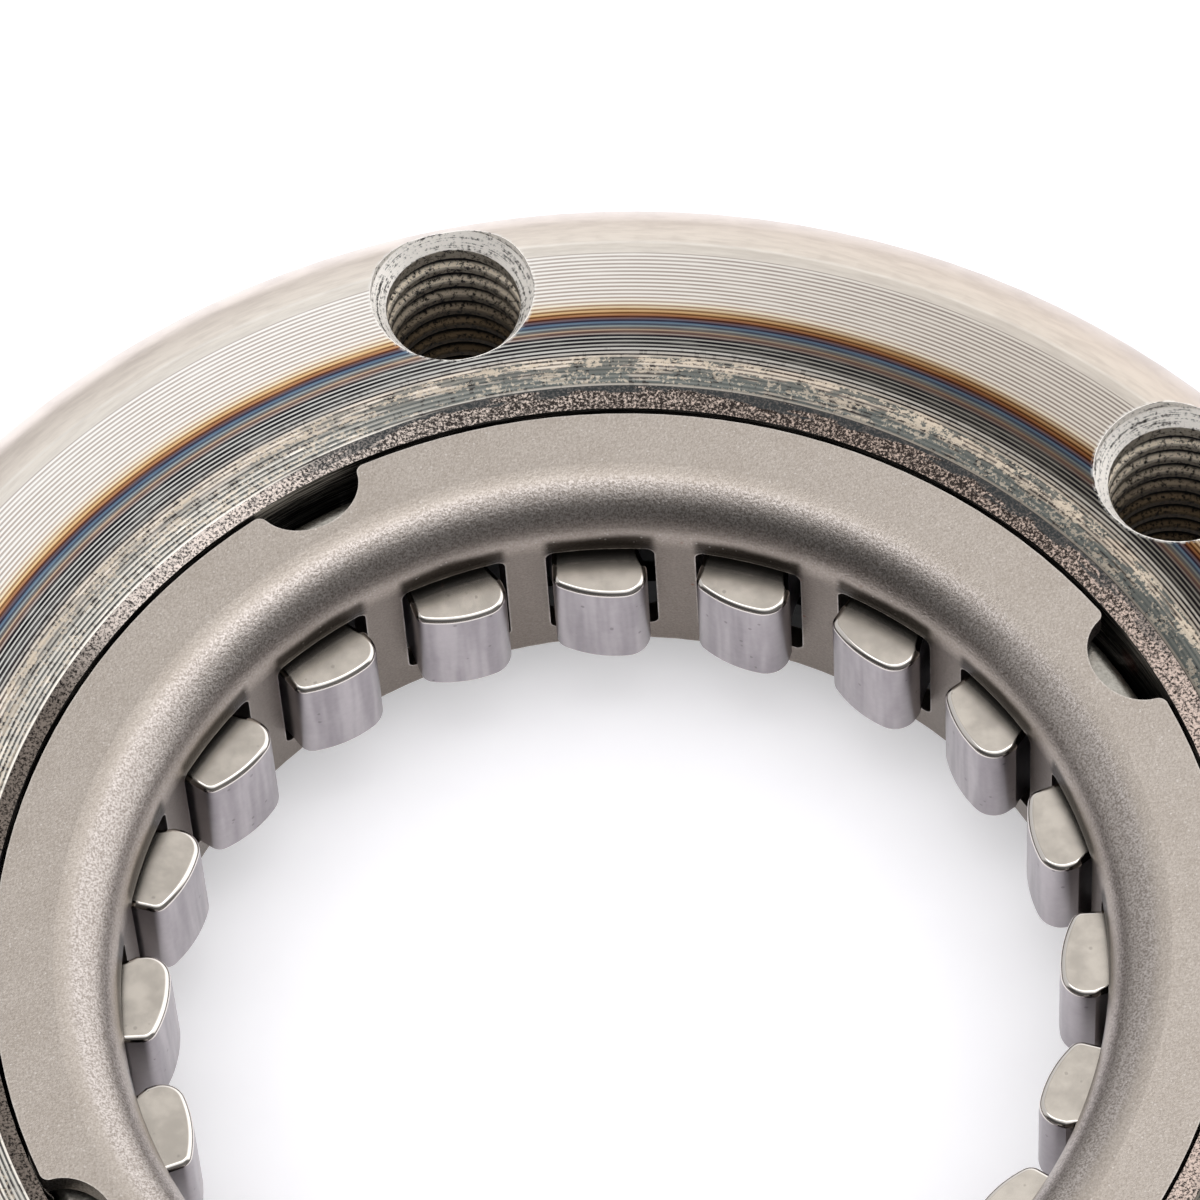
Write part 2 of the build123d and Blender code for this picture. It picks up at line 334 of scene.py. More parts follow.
# %% [markdown]
# ## Worn edges
# Handling and tumbling polish the edges of a part first, so they catch the light as a thin bright
# line. The Bevel node gives the direction that a rounded edge would face; where it differs from the
# real one, there is an edge. A noise breaks the line up.
# %% Node group: edge wear
WEAR, given, out = new_group(
    "edge_wear",
    [("Point", "Vector", None), ("Width", "Float", 0.00015), ("Even", "Float", 0.5)],
    [("Worn", "Float")],
)
rounded = add(WEAR, "Bevel", {"samples": 6}, Radius=given["Width"]).outputs[0]
alike = vector_calc(WEAR, "DOT_PRODUCT", rounded, add(WEAR, "NewGeometry").outputs["Normal"])
edge = step(WEAR, alike, 0.985, 0.88)
patchy = step(WEAR, noise(WEAR, given["Point"], 1.6, 3.0), 0.62, 0.38)
feed(WEAR, out["Worn"], calc(WEAR, "MULTIPLY", edge, calc(WEAR, "MAXIMUM", patchy, given["Even"])))
print("groups ready:", [g.name for g in bpy.data.node_groups])

# %% [markdown]
# ## A finish for a solid
# Each material has one Principled shader. This helper makes it, and hands back the tree to wire up.
# Numbers that are the same all over a surface are set on the shader itself.
# %% Helpers for materials
def new_finish(name, metallic=1.0, roughness=0.4, anisotropic=0.0):
    """A material with one Principled shader. Returns it with its tree and the shader's inputs."""
    material = bpy.data.materials.new(name)
    material.use_nodes = True
    tree = material.node_tree
    shader = tree.nodes["Principled BSDF"].inputs
    shader["Metallic"].default_value = metallic
    shader["Roughness"].default_value = roughness
    shader["Anisotropic"].default_value = anisotropic
    shader["Anisotropic Rotation"].default_value = 0.25
    return material, tree, shader


def emboss(tree, shader, height, depth, strength=1.0):
    """Bump from a height of 0 to 1, at most depth metres deep."""
    bump = add(tree, "Bump", Height=height, Distance=depth, Strength=strength)
    feed(tree, shader["Normal"], bump.outputs[0])


def give_finish(material, *nodes):
    """Puts a finish on solids of the clutch."""
    for name in nodes:
        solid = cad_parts[name]
        if not solid.material_slots:
            solid.data.materials.append(material)
        for held in solid.material_slots:
            held.material = material
    print(material.name, "has", len(material.node_tree.nodes), "nodes and is on", len(nodes), "of the solids")


print("helpers ready: new_finish, emboss and give_finish")

# %% [markdown]
# ## The race: colours of the hardened face
# The race is turned from forged steel and its bore is hardened with a heat that runs outwards. The
# heat leaves rings of temper colour where the steel was hottest: scale by the bore, then slate, blue,
# purple, brown and straw, and clean steel further out. Ridges and valleys of the turned face take the
# colour differently, so each has its own table of radius in millimetres and chart colour.
# %% Ring colours of the race
FACE_SPAN, RIM_SPAN = (30.3, 38.1), (38.0, 42.2)
GROOVE_PITCH, LAST_RIDGE = 0.22, 37.93
RIDGES = [
    (30.4, (158, 154, 148)), (31.1, (176, 170, 162)), (31.35, (200, 193, 184)), (31.6, (240, 229, 215)),
    (32.0, (232, 222, 210)), (32.2, (198, 194, 188)), (32.4, (204, 203, 199)), (33.1, (206, 206, 202)),
    (33.3, (186, 172, 166)), (33.5, (200, 176, 152)), (33.75, (160, 172, 174)), (33.97, (98, 122, 146)),
    (34.2, (108, 90, 95)), (34.4, (184, 134, 96)), (34.63, (234, 200, 150)), (34.85, (242, 227, 197)),
    (35.1, (245, 240, 225)), (35.4, (246, 243, 238)), (38.0, (247, 245, 241)),
]
VALLEYS = [
    (30.4, (72, 69, 67)), (31.2, (92, 87, 83)), (31.45, (144, 134, 127)), (31.66, (152, 140, 130)),
    (31.88, (108, 94, 86)), (32.1, (50, 45, 47)), (33.0, (30, 29, 33)), (33.2, (34, 32, 38)),
    (33.42, (104, 80, 73)), (33.64, (103, 97, 95)), (33.86, (67, 76, 93)), (34.08, (50, 44, 61)),
    (34.3, (82, 45, 35)), (34.52, (127, 85, 50)), (34.74, (159, 122, 87)), (34.96, (178, 150, 128)),
    (35.18, (191, 171, 158)), (35.5, (184, 171, 162)), (38.0, (190, 179, 173)),
]
RIM = [
    (38.0, (226, 220, 212)), (38.55, (224, 217, 208)), (38.66, (244, 238, 230)), (38.8, (238, 229, 219)),
    (40.0, (230, 219, 209)), (41.4, (230, 221, 213)), (42.15, (236, 231, 231)),
]
race, tree, shader = new_finish("race_turned_steel", roughness=0.3, anisotropic=0.3)
where = use(tree, PLACE)
radius, height, round_way = where["Radius"], where["Height"], where["Round"]
round_x = add(tree, "SeparateXYZ", Vector=round_way).outputs["X"]
waver = streaks(tree, round_way, radius, 9.0, 2.5)
tinted = calc(tree, "MULTIPLY_ADD", calc(tree, "SUBTRACT", waver, 0.5), 0.22, radius)
cut = use(tree, GROOVES, Round=round_way, Across=radius, Pitch=GROOVE_PITCH, Start=LAST_RIDGE)
ridge_colour = colour_scale(tree, tinted, *FACE_SPAN, RIDGES)
valley_colour = colour_scale(tree, tinted, *FACE_SPAN, VALLEYS)
print("race face has", len(RIDGES), "ridge colours and", len(VALLEYS), "valley colours")

# %% [markdown]
# Towards +X the face is painted darker, as painted shade: duller ridges, most of all in the slate ring,
# and darker valleys, straw ring and rim. Towards -X the ridges are bare and bright right up to the mouth,
# and the rings next to it lie a little further in. The smooth ring outside the grooves and the rounded rim
# have no ridges. The outer wall and the underside were never heated: plain steel with turning marks.
# %% Turned face and rounded rim
GROOVES_END, RIM_FOOT = 38.02, 11.5
# painted shade mask: 0 towards -X, 1 towards +X
painted_shade_side = step(tree, round_x, -0.45, 0.75)
minus_x_side = step(tree, round_x, -0.05, -0.6)
inward = calc(tree, "MULTIPLY_ADD", minus_x_side, 0.42, radius)
in_slate = calc(tree, "MULTIPLY", step(tree, inward, 32.4, 32.7), step(tree, radius, 34.2, 33.6))
# painted shade: ridges painted darker towards +X, most of all in the slate ring
ridge_colour = blend(tree, painted_shade_side, ridge_colour, linear(208, 202, 195), "MULTIPLY")
slate_painted_shade = calc(tree, "MULTIPLY", painted_shade_side, in_slate)
ridge_colour = blend(tree, slate_painted_shade, ridge_colour, linear(170, 170, 168), "MULTIPLY")
bare_ridges = calc(tree, "MULTIPLY", minus_x_side, step(tree, radius, 31.6, 31.1))
ridge_colour = blend(tree, bare_ridges, ridge_colour, linear(222, 216, 207))
# painted shade: valleys painted darker towards +X
valley_colour = blend(tree, painted_shade_side, valley_colour, linear(186, 183, 180), "MULTIPLY")
uneven = streaks(tree, round_way, cut["Number"], 14.0, 3.7)
wide_valley = calc(tree, "MULTIPLY", in_slate, step(tree, cut["Height"], 0.9, 0.5))
valley = calc(tree, "MAXIMUM", cut["Valley"], wide_valley)
valley = calc(tree, "MULTIPLY", valley, step(tree, uneven, 0.2, 0.55, 0.7, 1.0))
colour = blend(tree, valley, ridge_colour, valley_colour)
in_straw = calc(tree, "MULTIPLY", step(tree, radius, 34.1, 34.4), step(tree, radius, 35.1, 34.7))
# painted shade: the straw ring painted darker towards +X
colour = blend(tree, calc(tree, "MULTIPLY", painted_shade_side, in_straw), colour, linear(186, 172, 162), "MULTIPLY")
rim_colour = colour_scale(tree, radius, *RIM_SPAN, RIM)
brushed = streaks(tree, round_way, calc(tree, "ADD", radius, height), 20.0, 5.0, 4.0)
brushed = step(tree, brushed, 0.35, 0.7, 0.0, 0.5)
rim_colour = blend(tree, brushed, rim_colour, linear(224, 222, 222), "MULTIPLY")
# painted shade: the rim painted darker towards +X
rim_colour = blend(tree, painted_shade_side, rim_colour, linear(228, 225, 222), "MULTIPLY")
colour = blend(tree, step(tree, radius, GROOVES_END, GROOVES_END + 0.05), colour, rim_colour)
skimmed = streaks(tree, round_way, calc(tree, "ADD", radius, height), 9.0, 16.0, 4.0)
plain = blend(tree, step(tree, skimmed, 0.3, 0.7), linear(146, 141, 135), linear(188, 183, 176))
colour = blend(tree, step(tree, height, RIM_FOOT + 0.7, RIM_FOOT - 0.7), colour, plain)
print("grooves end", GROOVES_END, "mm from the axis, and the rim's foot is", RIM_FOOT, "mm up")

# %% [markdown]
# The ring next to the bore is covered with scale that has flaked off in streaks: black dashes that keep
# to the grooves, tan patches and grey-green skin. Grooves and scale run on over the outer part of the
# bevel at the bore's mouth.
# %% Scale round the bore
MOUTH_EDGE, BEVEL_FOOT, SCALE_END = 30.36, 14.66, 32.75
HOT_WAY = math.radians(72)
hot = vector_calc(tree, "DOT_PRODUCT", round_way, (math.cos(HOT_WAY), math.sin(HOT_WAY), 0))
hot = step(tree, hot, 0.55, 0.98)
on_face = step(tree, height, BEVEL_FOOT + 0.06, BEVEL_FOOT + 0.1)
in_scale = calc(tree, "MULTIPLY", step(tree, inward, MOUTH_EDGE, MOUTH_EDGE + 0.05), on_face)
dash = streaks(tree, round_way, cut["Number"], 62.0, 3.7, 4.0)
patch = streaks(tree, round_way, radius, 11.0, 2.0, 6.0)
green_place = calc(tree, "MULTIPLY", step(tree, inward, 30.45, 30.55), step(tree, radius, 32.15, 31.8))
clinging = calc(tree, "MULTIPLY_ADD", step(tree, radius, 31.5, 30.6), 0.07, patch)
green = calc(tree, "MULTIPLY", step(tree, clinging, 0.465, 0.51), green_place)
green = calc(tree, "MULTIPLY", green, in_scale)
green_depth = calc(tree, "MULTIPLY_ADD", minus_x_side, -0.45, 0.8)
colour = blend(tree, calc(tree, "MULTIPLY", green, green_depth), colour, linear(90, 95, 93))
dash_place = calc(tree, "MULTIPLY", step(tree, radius, SCALE_END, SCALE_END - 0.55), in_scale)
black = calc(tree, "MULTIPLY", step(tree, dash, 0.57, 0.61), dash_place)
black = calc(tree, "MULTIPLY", black, step(tree, cut["Valley"], 0.0, 0.5, 0.25, 1.0))
colour = blend(tree, calc(tree, "MULTIPLY", black, 0.9), colour, linear(46, 42, 42))
flake = use(tree, GRAIN, Point=where["Point"], Grains_each_mm=5.5, Share=0.25)
peeled = streaks(tree, round_way, calc(tree, "ADD", radius, 40.0), 14.0, 2.6, 6.0)
peeled = calc(tree, "MULTIPLY_ADD", flake["Shade"], 0.35, peeled)
tan = calc(tree, "MULTIPLY", calc(tree, "MULTIPLY", step(tree, peeled, 0.71, 0.77), green_place), in_scale)
tan = calc(tree, "MULTIPLY", tan, step(tree, radius, 30.9, 31.6, 0.4, 0.8))
colour = blend(tree, tan, colour, linear(212, 197, 178))
print("scale lies from", MOUTH_EDGE, "to", SCALE_END, "mm from the axis")

# %% [markdown]
# The inner part of the bevel is granular, like fine emery, with a smooth dark slate skin left where the
# heat was greatest. A noise with a sharp step gives bright and dark grains of uneven size. The grit is
# painted a little darker towards +X and much darker on the far -X side, as painted shade.
# %% Granular mouth of the bore
on_mouth = calc(tree, "MULTIPLY", step(tree, inward, MOUTH_EDGE + 0.02, MOUTH_EDGE - 0.02),
                step(tree, height, BEVEL_FOOT - 0.04, BEVEL_FOOT))
grit = noise(tree, where["Point"], 7.5, 3.0, 0.75)
grit_share = step(tree, calc(tree, "MULTIPLY_ADD", hot, -0.08, grit), 0.38, 0.57)
grit_colour = blend(tree, grit_share, linear(66, 61, 59), linear(242, 230, 222))
# painted shade: the grit a little darker towards +X
grit_colour = blend(tree, step(tree, round_x, -0.3, 0.55), grit_colour, linear(242, 234, 230), "MULTIPLY")
skin_edge = calc(tree, "MULTIPLY_ADD", calc(tree, "SUBTRACT", patch, 0.5), 2.6, inward)
skin = calc(tree, "MULTIPLY", step(tree, skin_edge, 29.95, 30.15), step(tree, hot, 0.0, 0.8, 0.15, 1.0))
grit_colour = blend(tree, calc(tree, "MULTIPLY", skin, 0.85), grit_colour, linear(72, 77, 80))
grit_colour = blend(tree, hot, grit_colour, linear(240, 237, 234), "MULTIPLY")
# painted shade: the grit much darker on the far -X side
grit_colour = blend(tree, step(tree, round_x, -0.7, -0.88), grit_colour, linear(134, 130, 126), "MULTIPLY")
colour = blend(tree, on_mouth, colour, grit_colour)
print("the mouth is granular out to", MOUTH_EDGE, "mm from the axis")

# %% [markdown]
# Below the mouth the bore is the ground track that the sprags grip, with hair-fine rings. Lower down,
# where the cage hides it, it is painted nearly black, as painted shadow. A blot of brown rust sits in it
# beside one notch.
# %% Bore wall
BORE_RADIUS = 29.2
RUST_SPOT = Vector((25.7, 13.9, 12.6))
in_bore = calc(tree, "MULTIPLY", step(tree, radius, BORE_RADIUS + 0.15, BORE_RADIUS + 0.05),
               step(tree, height, BEVEL_FOOT, BEVEL_FOOT - 0.06))
ring_marks = streaks(tree, round_way, height, 10.0, 9.0, 3.0)
bore_colour = blend(tree, step(tree, ring_marks, 0.42, 0.68), linear(84, 81, 78), linear(226, 221, 215))
# painted shadow: the bore painted nearly black lower down, where the cage shades it
bore_colour = blend(tree, step(tree, height, 12.2, 10.4), bore_colour, linear(18, 18, 18))
from_rust = vector_calc(tree, "DISTANCE", where["Point"], RUST_SPOT)
rust = calc(tree, "MULTIPLY", step(tree, from_rust, 1.0, 0.3), step(tree, grit, 0.4, 0.6, 0.4, 1.0))
bore_colour = blend(tree, rust, bore_colour, linear(120, 58, 40))
colour = blend(tree, in_bore, colour, bore_colour)
print("the rust spot is", round(RUST_SPOT.xy.length, 1), "mm from the axis, where the bore's wall is")

# %% [markdown]
# The threads were cut with a tap that tore the steel a little: mottled flanks, and a countersink scored
# by the drill. The roots are painted blue-black, the crests darker and the flanks darker deeper down, as
# painted shade in the hole.
# %% Threaded holes
HOLE_COUNT, FIRST_HOLE, BOLT_CIRCLE_RADIUS = 6, 98.5, 36.8
HOLE_MOUTH, THREAD_TOP = 4.06, 13.6
hole = use(tree, NEAREST, Point=where["Point"], Copies=HOLE_COUNT, First=FIRST_HOLE)
outward = calc(tree, "SUBTRACT", hole["Outward"], BOLT_CIRCLE_RADIUS)
aside = add(tree, "CombineXYZ", X=hole["Across"], Y=outward)
from_hole = vector_calc(tree, "LENGTH", aside.outputs[0])
in_hole = step(tree, from_hole, HOLE_MOUTH, HOLE_MOUTH - 0.025)
mottle = noise(tree, where["Point"], 4.5, 5.0, 0.75)
flank = blend(tree, step(tree, mottle, 0.38, 0.52), linear(38, 34, 30), linear(255, 242, 222))
# painted shade: blue-black thread roots
flank = blend(tree, step(tree, from_hole, 3.53, 3.69), flank, linear(6, 9, 20))
# painted shade: darker crests
flank = blend(tree, step(tree, from_hole, 3.44, 3.36, 0.0, 0.6), flank, linear(24, 24, 34))
# painted shade: flanks darker deeper down the hole
flank = blend(tree, step(tree, height, 13.0, 6.5), flank, linear(126, 112, 92), "MULTIPLY")
round_hole = vector_calc(tree, "NORMALIZE", aside.outputs[0])
scored = streaks(tree, round_hole, calc(tree, "ADD", from_hole, height), 1.6, 9.0, 5.0)
torn = calc(tree, "MULTIPLY_ADD", mottle, 0.6, calc(tree, "MULTIPLY", scored, 0.5))
mouth_steel = blend(tree, step(tree, torn, 0.43, 0.55), linear(62, 59, 56), linear(250, 245, 239))
flank = blend(tree, step(tree, height, THREAD_TOP, THREAD_TOP + 0.12), flank, mouth_steel)
burr = step(tree, from_hole, HOLE_MOUTH + 0.14, HOLE_MOUTH)
burr = calc(tree, "MULTIPLY", burr, step(tree, mottle, 0.45, 0.55))
colour = blend(tree, calc(tree, "MULTIPLY", burr, 0.5), colour, linear(236, 234, 230))
colour = blend(tree, in_hole, colour, flank)
print("the", HOLE_COUNT, "bolt holes are finished out to", HOLE_MOUTH, "mm from their axes")

# %% [markdown]
# Last come the roughness and the relief: the grooves stand up, the grit is rough, the rim is smooth.
# %% Roughness and relief of the race
rough = calc(tree, "MAXIMUM", calc(tree, "MULTIPLY", on_mouth, 0.62), calc(tree, "MULTIPLY", in_hole, 0.5))
feed(tree, shader["Roughness"], calc(tree, "MAXIMUM", rough, 0.3))
feed(tree, shader["Base Color"], colour)
feed(tree, shader["Metallic"], calc(tree, "MULTIPLY_ADD", in_hole, -0.4, 1.0))
grooved = calc(tree, "MULTIPLY", on_face, step(tree, radius, GROOVES_END + 0.05, GROOVES_END))
relief = calc(tree, "MULTIPLY", cut["Height"], grooved)
relief = calc(tree, "ADD", relief, calc(tree, "MULTIPLY", grit, calc(tree, "MAXIMUM", on_mouth, in_hole)))
emboss(tree, shader, relief, 0.00001, 0.6)
give_finish(race, "outer_race")

# %% [markdown]
# ## The cages
# Both cages are pressed from soft steel sheet and blasted, which leaves a warm grey, matte skin with a
# fine grain. A light and dark mottle lies faintly over the skin and strongly over the bend, as painted
# glints where it bends towards the light. The windowed wall is painted darker, as painted shade, most of
# all in a soft band over each window, and a few specks of rust have started.
# %% Blasted cage steel
WINDOW_TOP, WALL_TOP = 11.3, 12.6
WINDOW_COUNT, FIRST_WINDOW = 20, 88.0
cage, tree, shader = new_finish("cage_blasted_steel", roughness=0.42)
where = use(tree, PLACE)
height = where["Height"]
skin = use(tree, GRAIN, Point=where["Point"], Grains_each_mm=8.0, Share=0.03)
clouds = noise(tree, where["Point"], 0.35, 3.0)
colour = blend(tree, skin["Shade"], linear(162, 152, 143), linear(184, 175, 165))
cloudy = calc(tree, "MULTIPLY", step(tree, clouds, 0.35, 0.7), 0.3)
colour = blend(tree, cloudy, colour, linear(160, 149, 138))
on_bend = calc(tree, "MULTIPLY", step(tree, height, 14.48, 14.3), step(tree, height, WALL_TOP, 13.4))
glint = noise(tree, where["Point"], 9.0, 2.0, 0.8)
# painted highlight: glints painted strongly on the bend, over a faint grain mottle everywhere
grain_and_painted_glints = blend(tree, step(tree, glint, 0.36, 0.64), linear(126, 117, 113), linear(226, 218, 216))
colour = blend(tree, calc(tree, "MULTIPLY_ADD", on_bend, 0.4, 0.15), colour, grain_and_painted_glints)
on_wall = step(tree, height, WALL_TOP + 0.4, WINDOW_TOP)
# painted shade: the windowed wall darkened
colour = blend(tree, on_wall, colour, linear(178, 175, 172), "MULTIPLY")
window = use(tree, NEAREST, Point=where["Point"], Copies=WINDOW_COUNT, First=FIRST_WINDOW)
as_wide = step(tree, calc(tree, "ABSOLUTE", window["Across"]), 2.9, 2.4)
uneven_top = step(tree, calc(tree, "MULTIPLY_ADD", clouds, 0.5, height), 12.75, 12.3)
as_high = calc(tree, "MULTIPLY", step(tree, height, WINDOW_TOP - 0.2, WINDOW_TOP), uneven_top)
over_window = calc(tree, "MULTIPLY", as_wide, as_high)
# painted shade: a soft dark band over each window
colour = blend(tree, over_window, colour, linear(120, 116, 112), "MULTIPLY")
bright_grains = calc(tree, "MULTIPLY", skin["Chosen"], calc(tree, "MULTIPLY_ADD", on_wall, -0.4, 0.45))
colour = blend(tree, bright_grains, colour, linear(216, 210, 204))
specks = add(tree, "TexVoronoi", {"feature": "F1"}, Vector=where["Point"], Scale=0.55)
speck = calc(tree, "MULTIPLY", step(tree, specks.outputs["Distance"], 0.075, 0.03), on_wall)
colour = blend(tree, calc(tree, "MULTIPLY", speck, 0.8), colour, linear(112, 72, 56))
edge = use(tree, WEAR, Point=where["Point"], Width=0.00018, Even=0.55)["Worn"]
colour = blend(tree, calc(tree, "MULTIPLY", edge, 0.6), colour, linear(222, 216, 210))
feed(tree, shader["Base Color"], colour)
feed(tree, shader["Roughness"], calc(tree, "MULTIPLY_ADD", skin["Height"], 0.2, 0.24))
emboss(tree, shader, skin["Height"], 0.000025, 0.7)
give_finish(cage, "inner_cage")

# %% [markdown]
# The outer cage sits close to the bore, under the inner one's flange. Only its top catches light, as a
# thin crescent seen through a notch. Below that it is painted nearly black, as painted shadow for the
# shadow that it always lies in. It takes the same grain as the inner cage, a little coarser and smoother.
# %% Outer cage, in the shadow behind
back_cage, tree, shader = new_finish("back_cage_satin_steel", roughness=0.4)
where = use(tree, PLACE)
skin = use(tree, GRAIN, Point=where["Point"], Grains_each_mm=6.0, Share=0.05)
lit = step(tree, where["Height"], 12.3, 12.7)
colour = blend(tree, skin["Shade"], linear(150, 146, 138), linear(186, 182, 174))
# painted shadow: nearly black below the lit top
colour = blend(tree, lit, linear(24, 23, 22), colour)
feed(tree, shader["Base Color"], colour)
feed(tree, shader["Roughness"], calc(tree, "MULTIPLY_ADD", skin["Height"], 0.15, 0.3))
emboss(tree, shader, skin["Height"], 0.00002, 0.5)
give_finish(back_cage, "outer_cage")

# %% [markdown]
# ## The ribbon spring
# A thin strip between the cages leans the sprags against the hub. It is painted nearly black, as
# painted shade for the dark behind the sprags where it is hardly seen, so faint rolling streaks are all
# it needs.
# %% Spring strip
ribbon, tree, shader = new_finish("ribbon_strip_painted_dark", roughness=0.32)
where = use(tree, PLACE)
rolled = streaks(tree, where["Round"], where["Height"], 8.0, 7.0)
# painted shade: the strip is painted nearly black
feed(tree, shader["Base Color"], blend(tree, rolled, linear(10, 10, 12), linear(26, 25, 26)))
feed(tree, shader["Roughness"], calc(tree, "MULTIPLY_ADD", rolled, 0.2, 0.35))
emboss(tree, shader, rolled, 0.000006, 0.6)
give_finish(ribbon, "ribbon_spring")

# %% [markdown]
# ## The sprags
# A sprag is drawn steel wire, cut, ground and tumbled. Its ends are olive grey and satin, its gripping
# faces are brushed and a touch lilac, and the rounded edges between them are polished like a mirror.
# A mirror shows every facet of a coarse solid, so each sprag is drawn again here with a true outline:
# the same arcs, laid end to end, filled, pushed up to the sprag's length and rounded at both rims.
# Carving a block with cuts could do it too, but then no edge would meet the next one smoothly.
# %% Sizes of a sprag, in millimetres
PIVOT_RADIUS = 25.2
HEAD_RADIUS, HEAD_CCW, HEAD_CW, HEAD_CORNER = 3.92, 2.9, 2.75, 0.4
TIP_REACH, TIP_FACE_RADIUS, TIP_OFFSET = 4.25, 6.0, 0.8
TIP_CCW, TIP_CW, TIP_CCW_CORNER, TIP_CW_CORNER = 2.36, 2.24, 0.7, 1.2
WAIST, RIM_ROUND, SPRAG_LENGTH = 1.75, 0.3, 5.95
REST_LEANS = {2: 0.4, 3: 2.4, 5: 0.8, 8: 0.5, 11: 1.1, 14: 0.6, 17: 0.9, 20: 0.7}
TIP_CENTRE = Vector((TIP_FACE_RADIUS - TIP_REACH, -TIP_OFFSET))
JOIN = 0.002


def across_circle(centre, radius, side, toward):
    """The point of a circle at this height across, on its outer (1) or inner (-1) side."""
    return Vector((centre.x + toward * math.sqrt(radius**2 - (side - centre.y) ** 2), side))


def circle_through(first, second, third):
    """Centre and radius of the circle through three points."""
    b, c = second - first, third - first
    d = 2 * (b.x * c.y - b.y * c.x)
    across = c.y * b.length_squared - b.y * c.length_squared
    along = b.x * c.length_squared - c.x * b.length_squared
    centre = Vector((across, along)) / d
    return first + centre, centre.length


def circles_meet(first, first_radius, second, second_radius, near):
    """Where two circles cross, the crossing nearer to a point."""
    between = second - first
    along = (first_radius**2 - second_radius**2 + between.length_squared) / (2 * between.length)
    rise = math.sqrt(first_radius**2 - along**2)
    unit = between.normalized()
    both = [first + along * unit + sign * rise * Vector((-unit.y, unit.x)) for sign in (1, -1)]
    return min(both, key=lambda point: (point - near).length)


def heading(origin, target):
    """The direction from one point to another, in radians."""
    return math.atan2(target.y - origin.y, target.x - origin.x)


print("a sprag is", HEAD_RADIUS + TIP_REACH, "mm high and", SPRAG_LENGTH, "mm long")

# %% [markdown]
# Every corner of the outline is an arc that just touches its neighbours. Its centre lies one corner
# radius inside both of them, so it is found where two circles, or a circle and a line, cross.
# %% Outline of a sprag
ORIGIN = Vector((0, 0))
corner_head_ccw = across_circle(ORIGIN, HEAD_RADIUS - HEAD_CORNER, HEAD_CCW - HEAD_CORNER, 1)
corner_tip_ccw = across_circle(TIP_CENTRE, TIP_FACE_RADIUS - TIP_CCW_CORNER, TIP_CCW - TIP_CCW_CORNER, -1)
corner_tip_cw = across_circle(TIP_CENTRE, TIP_FACE_RADIUS - TIP_CW_CORNER, TIP_CW_CORNER - TIP_CW, -1)
head_cw = across_circle(ORIGIN, HEAD_RADIUS, -HEAD_CW, 1)
flank_cw = across_circle(TIP_CENTRE, TIP_FACE_RADIUS, -TIP_CW, -1) + Vector((TIP_REACH / 3, 0))
waist = Vector(((flank_cw.x + head_cw.x) / 2, -WAIST))
waist_centre, waist_radius = circle_through(flank_cw, waist, head_cw)
corner_head_cw = circles_meet(
    waist_centre, waist_radius + HEAD_CORNER, ORIGIN, HEAD_RADIUS - HEAD_CORNER, head_cw
)
head_turns = heading(ORIGIN, corner_head_cw), heading(ORIGIN, corner_head_ccw)
tip_turns = heading(TIP_CENTRE, corner_tip_ccw), heading(TIP_CENTRE, corner_tip_cw) + math.tau
waist_turns = heading(waist_centre, flank_cw), heading(waist_centre, corner_head_cw)
quarter = math.pi / 2
ARCS = [
    (ORIGIN, HEAD_RADIUS, *head_turns, 24),
    (corner_head_ccw, HEAD_CORNER, head_turns[1], quarter, 8),
    (corner_tip_ccw, TIP_CCW_CORNER, quarter, tip_turns[0], 8),
    (TIP_CENTRE, TIP_FACE_RADIUS, *tip_turns, 20),
    (corner_tip_cw, TIP_CW_CORNER, tip_turns[1], 3 * quarter, 12),
    (waist_centre, waist_radius, *waist_turns, 14),
    (corner_head_cw, HEAD_CORNER, heading(corner_head_cw, waist_centre), head_turns[0], 8),
]
SHOULDERS = {1: [(HEAD_RADIUS / 4, HEAD_CCW), (-HEAD_RADIUS / 16, TIP_CCW)]}


def sprag_block():
    """The mesh of one sprag, lying along +X from its lean axis, standing on z = 0."""
    block = bmesh.new()
    ends = []
    for centre, reach, start, stop, steps in ARCS:
        first = block.verts.new((centre.x + reach * math.cos(start), centre.y + reach * math.sin(start), 0))
        made = bmesh.ops.spin(
            block, geom=[first], cent=(*centre, 0), axis=(0, 0, 1), angle=stop - start, steps=steps
        )
        ends.append((first, next(v for v in made["geom_last"] if isinstance(v, bmesh.types.BMVert))))
    for place, (_, last) in enumerate(ends):
        stops = [block.verts.new((*corner, 0)) for corner in SHOULDERS.get(place, [])]
        chain = [last, *stops, ends[(place + 1) % len(ends)][0]]
        for near, far in zip(chain, chain[1:]):
            if (near.co - far.co).length > JOIN:
                block.edges.new((near, far))
    bmesh.ops.remove_doubles(block, verts=block.verts[:], dist=JOIN)
    end = bmesh.ops.edgeloop_fill(block, edges=block.edges[:])["faces"]
    raised = bmesh.ops.extrude_face_region(block, geom=end, use_keep_orig=True)["geom"]
    top = [v for v in raised if isinstance(v, bmesh.types.BMVert)]
    bmesh.ops.translate(block, verts=top, vec=(0, 0, SPRAG_LENGTH))
    bmesh.ops.recalc_face_normals(block, faces=block.faces[:])
    rims = [edge for edge in block.edges if abs(edge.verts[0].co.z - edge.verts[1].co.z) < 0.001]
    bmesh.ops.bevel(block, geom=rims, offset=RIM_ROUND, segments=6, profile=0.5, affect="EDGES", material=-1)
    for face in block.faces:
        face.smooth = True
    for edge in block.edges:
        edge.smooth = edge.calc_face_angle(0) < math.radians(22)
    mesh = bpy.data.meshes.new("sprag_block")
    block.to_mesh(mesh)
    block.free()
    return mesh


print("the outline has", len(ARCS), "arcs in", sum(arc[-1] for arc in ARCS), "steps")

